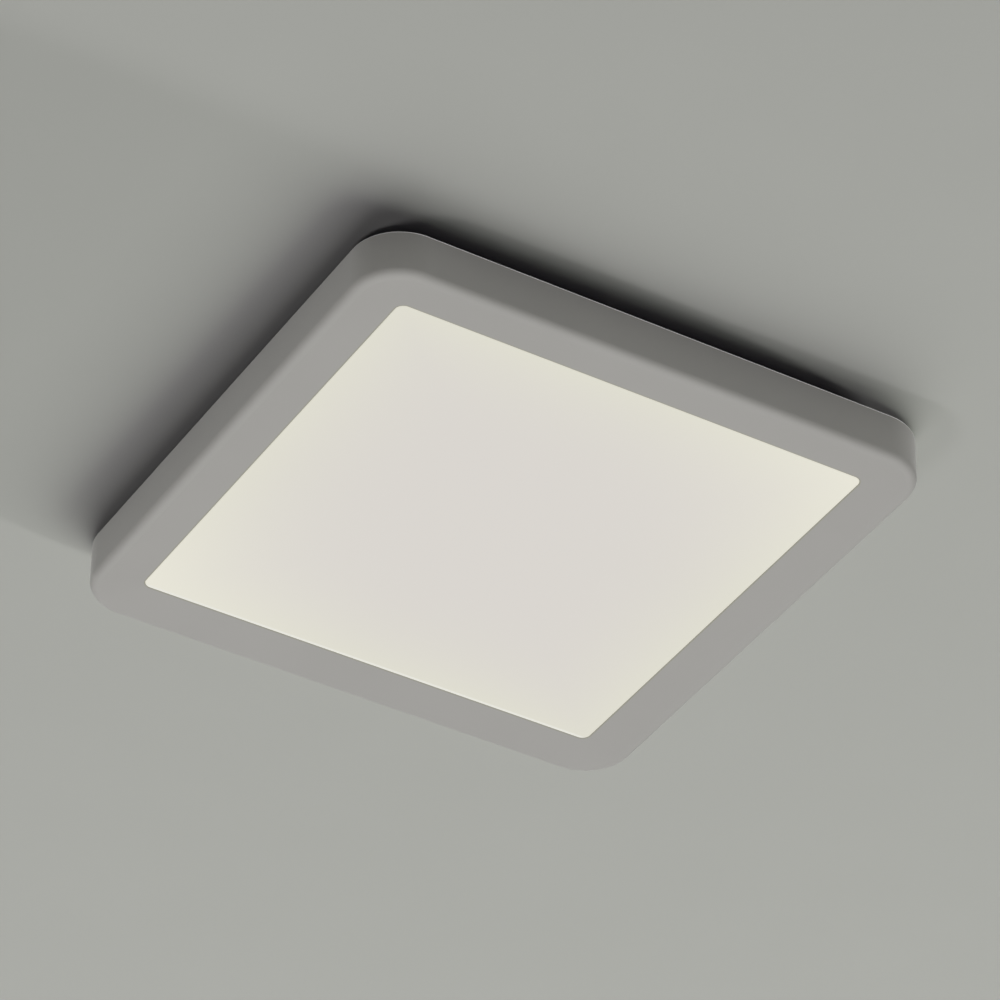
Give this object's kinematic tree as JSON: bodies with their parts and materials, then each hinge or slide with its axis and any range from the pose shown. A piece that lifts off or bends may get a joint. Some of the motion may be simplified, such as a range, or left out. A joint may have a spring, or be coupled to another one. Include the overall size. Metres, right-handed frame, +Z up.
{
  "type": "led ceiling light",
  "caption": "Flat square ceiling light: moulded housing with a dished bezel and a flush lit opal window, held to a ceiling bracket by spring clips.",
  "frame": {"origin": "centre of the cable inlet, in the plane of the ceiling", "axes": "+Z up into the ceiling, +X along the bracket and one side of the housing, +Y along the other"},
  "size_m": [0.3, 0.3, 0.0278],
  "materials": {
    "housing_plastic": "matte",
    "opal_diffuser": "satin",
    "clear_acrylic": "polished",
    "white_film": "matte",
    "foam": "matte",
    "circuit_board": "satin",
    "led_package": "gloss",
    "aluminium": "satin",
    "galvanised_steel": "satin",
    "zinc_fasteners": "satin",
    "spring_steel": "satin",
    "black_rubber": "matte",
    "white_plastic": "matte",
    "button_orange": "matte",
    "brass": "satin",
    "ferrite": "matte",
    "component_yellow": "gloss",
    "component_black": "matte",
    "brown_lead": "satin",
    "blue_lead": "satin",
    "earth_lead": "satin",
    "red_lead": "satin",
    "black_lead": "satin",
    "white_lead": "satin"
  },
  "bodies": {
    "ceiling_bracket": {"mounting_bracket": "galvanised_steel", "cable_grommet": "black_rubber", "spring_clip_left": "spring_steel", "spring_clip_right": "spring_steel", "clip_rivets": "zinc_fasteners"},
    "lamp": {"housing": "housing_plastic", "diffuser": "opal_diffuser", "light_guide": "clear_acrylic", "reflector_sheet": "white_film", "foam_strips": "foam", "led_board_front": "circuit_board", "led_board_back": "circuit_board", "led_board_left": "circuit_board", "led_board_right": "circuit_board", "driver_board": "circuit_board", "leds_front": "led_package", "leds_back": "led_package", "leds_left": "led_package", "leds_right": "led_package", "led_carrier_front": "aluminium", "led_carrier_back": "aluminium", "led_carrier_left": "aluminium", "led_carrier_right": "aluminium", "carrier_rivets": "aluminium", "driver_capacitors": "aluminium", "back_plate": "galvanised_steel", "catch_left": "galvanised_steel", "catch_right": "galvanised_steel", "back_plate_screws": "zinc_fasteners", "catch_rivets": "zinc_fasteners", "driver_screws": "zinc_fasteners", "terminal_screws": "zinc_fasteners", "earth_screw": "zinc_fasteners", "lead_grommet": "black_rubber", "driver_tray": "white_plastic", "driver_cover": "white_plastic", "terminal_body": "white_plastic", "terminal_contacts": "brass", "earth_tag": "brass", "driver_transformer": "ferrite", "driver_choke": "ferrite", "driver_film_capacitor": "component_yellow", "driver_chips": "component_black", "live_lead": "brown_lead", "neutral_lead": "blue_lead", "earth_lead": "earth_lead", "dc_lead_positive": "red_lead", "dc_lead_negative": "black_lead", "corner_links": "white_lead"},
    "live_button": {"terminal_button_live": "button_orange"},
    "neutral_button": {"terminal_button_neutral": "button_orange"},
    "earth_button": {"terminal_button_earth": "button_orange"}
  },
  "joints": [
    {"name": "lamp_drop", "type": "slide", "parent": "ceiling_bracket", "child": "lamp", "axis": [0, 0, -1], "range_m": [0, 0.06], "deforming": ["spring_clip_left", "spring_clip_right"]},
    {"name": "live_button_press", "type": "slide", "parent": "lamp", "child": "live_button", "axis": [0, 0, -1], "range_m": [0, 0.0015], "stiffness_N_per_m": 400},
    {"name": "neutral_button_press", "type": "slide", "parent": "lamp", "child": "neutral_button", "axis": [0, 0, -1], "range_m": [0, 0.0015], "stiffness_N_per_m": 400},
    {"name": "earth_button_press", "type": "slide", "parent": "lamp", "child": "earth_button", "axis": [0, 0, -1], "range_m": [0, 0.0015], "stiffness_N_per_m": 400}
  ]
}
